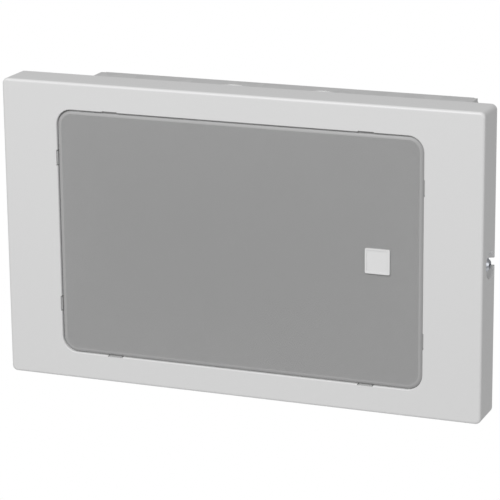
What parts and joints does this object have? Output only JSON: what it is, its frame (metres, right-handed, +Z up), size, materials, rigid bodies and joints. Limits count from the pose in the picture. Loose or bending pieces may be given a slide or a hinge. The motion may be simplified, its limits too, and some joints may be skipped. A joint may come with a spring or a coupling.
{
  "type": "wall paging speaker",
  "caption": "Flat rectangular wall loudspeaker: a light grey moulded panel with a punched steel grille, over a folded steel back box that holds a cone driver and a line transformer.",
  "frame": {"origin": "centre of the back box's rear face, where it lies against the wall", "axes": "+Z up, +Y into the wall, so the panel faces -Y and +X is to the right seen from the front"},
  "size_m": [0.31, 0.087, 0.19],
  "materials": {
    "panel_abs": "fine moulded texture, light grey",
    "grille_paint": "baked satin paint, light grey",
    "badge_paint": "satin, light grey",
    "dust_cloth": "non-woven, dark",
    "foam": "closed-cell foam",
    "frame_steel": "zinc plated pressing",
    "cone_paper": "pressed paper pulp",
    "surround_cloth": "impregnated cloth",
    "cap_paper": "pressed paper",
    "spider_cloth": "impregnated cotton",
    "coil_copper": "enamelled copper wire",
    "plated_steel": "zinc plated",
    "ferrite": "ground ferrite",
    "tag_board": "hard paper laminate",
    "tag_brass": "tinned brass",
    "tinsel": "copper braid",
    "box_steel": "zinc coated sheet, matt",
    "rubber": "matt",
    "core_steel": "laminated, varnished",
    "bobbin_nylon": "moulded",
    "block_nylon": "moulded",
    "lead_red": "PVC insulation",
    "lead_black": "PVC insulation",
    "felt": "pressed felt"
  },
  "bodies": {
    "root": {"front_bezel": "panel_abs", "grille": "grille_paint", "dust_cloth": "dust_cloth", "badge": "badge_paint", "box_seal": "foam", "driver_gasket": "foam", "driver_frame": "frame_steel", "cone": "cone_paper", "surround": "surround_cloth", "dust_cap": "cap_paper", "spider": "spider_cloth", "voice_coil": "coil_copper", "top_plate": "plated_steel", "magnet": "ferrite", "pole_yoke": "plated_steel", "tag_board": "tag_board", "solder_tags": "tag_brass", "tinsel_leads": "tinsel", "driver_screws": "plated_steel", "back_box": "box_steel", "screw_brackets": "box_steel", "side_screws": "plated_steel", "cable_grommet": "rubber", "transformer_core": "core_steel", "transformer_bobbin": "bobbin_nylon", "transformer_winding": "coil_copper", "transformer_clamp": "plated_steel", "transformer_screws": "plated_steel", "terminal_block": "block_nylon", "terminal_clamps": "tag_brass", "terminal_screws": "plated_steel", "line_leads": "lead_red", "driver_leads": "lead_black", "damping_pad": "felt"}
  },
  "joints": []
}
